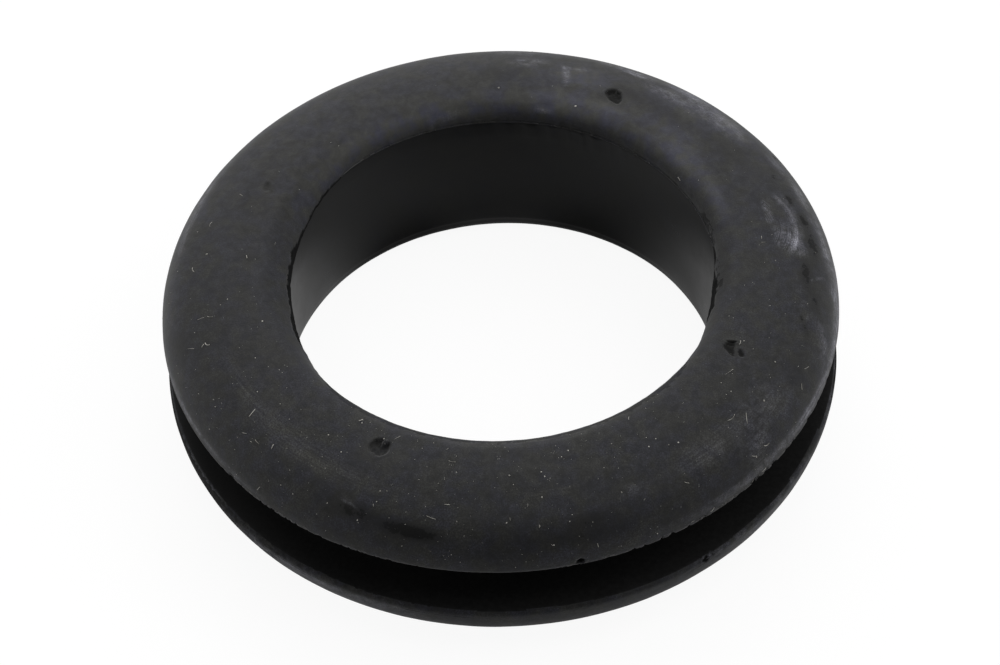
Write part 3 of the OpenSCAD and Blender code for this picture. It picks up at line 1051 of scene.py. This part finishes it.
def cotton_lint():
    """Cotton lint and paper dust: off-white, quite matte, and pale against the rubber."""
    material, node, place = new_material("cotton_lint")
    tone = node("MapRange", [node("TexNoise", {"Vector": place, "Scale": 1 / LINT_TONE}), 0.35, 0.65])
    skin = node("MixRGB", [tone, linear("#75736D"), linear("#D6D4CC")])
    node("OutputMaterial", [node("BsdfPrincipled", {"Base Color": skin, "Roughness": 0.9})])
    return material


# ---- the table, the light and the camera ----
TABLE_RADIUS = 2.0
SHADOW_SHARE = 0.1


def white_table():
    """A white table that shows as paper white and keeps the ring's shadow. Glossy rays see a dim painted glow
    instead, with a painted pool of light under the bore.
    """
    material, node, place = new_material("white_table")
    white = (1, 1, 1, 1)
    matte = node("BsdfDiffuse", {"Color": linear("#FAFAFA")})
    plain = node("Emission", {"Color": white, "Strength": 1.03})
    seen = node("MixShader", [SHADOW_SHARE, plain, matte])
    seen = node("MixShader", [node("LightPath", output="Is Camera Ray"), matte, seen])

    # For glossy rays the table glows dimly all over, and under the bore in a painted pool of light: brighter
    # to the sides, mostly to the left, and least towards the back. The bore's wall shows it as a painted
    # reflection.
    x, y = (node("SeparateXYZ", [place], output=axis) for axis in "XY")
    off_middle = node("Math", [x], operation="ABSOLUTE")
    sideways = node("MapRange", [off_middle, 2.0, 12.0, 0.08, 0.3])
    sideways = node("Math", [sideways, node("MapRange", [x, 0.0, -6.0, 0.0, 0.19])])
    sideways = node("Math", [sideways, node("MapRange", [y, 13.0, 10.0])], operation="MULTIPLY")
    under_back = node("MapRange", [off_middle, 5.0, 2.0, 0.0, 0.13])
    under_back = node("Math", [under_back, node("MapRange", [y, 5.5, 7.5])], operation="MULTIPLY")
    in_bore = node("Math", [node("Math", [sideways, under_back]), 0.08])
    reach = node("VectorMath", [node("CombineXYZ", [x, y])], output="Value", operation="LENGTH")
    under_ring = node("MapRange", [reach, BORE_RADIUS + 1, BORE_RADIUS - 0.5])
    painted_glow = node("MixRGB", [under_ring, (0.15, 0.15, 0.15, 1), in_bore])
    dim = node("Emission", {"Color": white, "Strength": painted_glow})
    node("OutputMaterial", [node("MixShader", [node("LightPath", output="Is Glossy Ray"), seen, dim])])
    bm = bmesh.new()
    bmesh.ops.create_circle(bm, cap_ends=True, segments=96, radius=TABLE_RADIUS)
    bmesh.ops.translate(bm, vec=(0, 0, RING_LOW.z), verts=bm.verts)
    mesh = bpy.data.meshes.new("table")
    bm.to_mesh(mesh)
    bm.free()
    mesh.materials.append(material)
    table = bpy.data.objects.new("table", mesh)
    bpy.context.scene.collection.objects.link(table)


# Soft boxes: name, size across and up, place in metres, and brightness, where 1 is a lit white card.
SOFTBOXES = [
    ("overhead", 0.5, 0.5, (0, 0, 0.6), 1.2),
    ("high_behind", 0.5, 0.5, (0, 0.45, 0.45), 2.5),
    ("low_behind", 1.0, 0.28, (0, 0.7, 0.15), 0.7),
    ("high_left", 0.5, 0.5, (-0.45, 0, 0.45), 0.4),
    ("high_right", 0.5, 0.5, (0.45, 0, 0.45), 1.8),
    ("low_left", 1.0, 0.28, (-0.7, 0, 0.15), 2.0),
    ("low_right", 1.0, 0.28, (0.7, 0, 0.15), 1.2),
    ("left_behind", 0.6, 0.35, (-0.4, 0.4, 0.2), 0.3),
]


def studio():
    """Soft boxes over and round the table. The room is nearly dark to the ring and white to the camera."""
    for name, across, up, place, brightness in SOFTBOXES:
        lamp = bpy.data.lights.new(name, "AREA")
        lamp.shape = "RECTANGLE"
        lamp.size = across
        lamp.size_y = up
        lamp.energy = math.pi * across * up * brightness
        holder = bpy.data.objects.new(name, lamp)
        holder.location = place
        holder.rotation_euler = Vector(place).to_track_quat("Z", "Y").to_euler()
        holder.visible_camera = False
        bpy.context.scene.collection.objects.link(holder)
    world = bpy.data.worlds.new("studio")
    bpy.context.scene.world = world
    world.use_nodes = True
    world.node_tree.nodes.clear()
    node = partial(add, world.node_tree)
    room = node("Background", {"Color": (1, 1, 1, 1), "Strength": 0.01})
    white = node("Background", {"Color": (1, 1, 1, 1), "Strength": 1.0})
    node("OutputWorld", [node("MixShader", [node("LightPath", output="Is Camera Ray"), room, white])])


CAMERA_DISTANCE = 0.28219
CAMERA_ELEVATION = math.radians(48.707)
CAMERA_ROLL = math.radians(-2.42)
CAMERA_AIM = Vector((-0.0001082, -0.0003311, -0.0002898))
FRAME_WIDTH = 1000
FOCAL_PIXELS = 3789.9
SENSOR = 36.0


def look_down():
    """A long lens above and in front of the ring, held a little askew."""
    camera = bpy.data.cameras.new("camera")
    camera.sensor_fit = "HORIZONTAL"
    camera.sensor_width = SENSOR
    camera.lens = FOCAL_PIXELS * SENSOR / FRAME_WIDTH
    camera.clip_start = 0.01
    camera.clip_end = 10
    holder = bpy.data.objects.new("camera", camera)
    holder.location = CAMERA_DISTANCE * Vector((0, -math.cos(CAMERA_ELEVATION), math.sin(CAMERA_ELEVATION)))
    aim = (CAMERA_AIM - holder.location).to_track_quat("-Z", "Y").to_matrix()
    holder.rotation_euler = (aim @ Matrix.Rotation(CAMERA_ROLL, 3, "Z")).to_euler()
    bpy.context.scene.collection.objects.link(holder)
    bpy.context.scene.camera = holder


# ---- the scene ----
bpy.context.scene.view_settings.view_transform = "Standard"
moulded_ring(
    [
        moulded_rubber("moulded_rubber", ior=1.38, sheen=0.2),
        bare_and_shaded_rubber(),
        bore_rubber(),
        moulded_rubber("rubbed_and_shaded_rubber", ior=1.32, sheen=0.08),
    ]
)
dust_and_lint(cotton_lint())
white_table()
studio()
look_down()
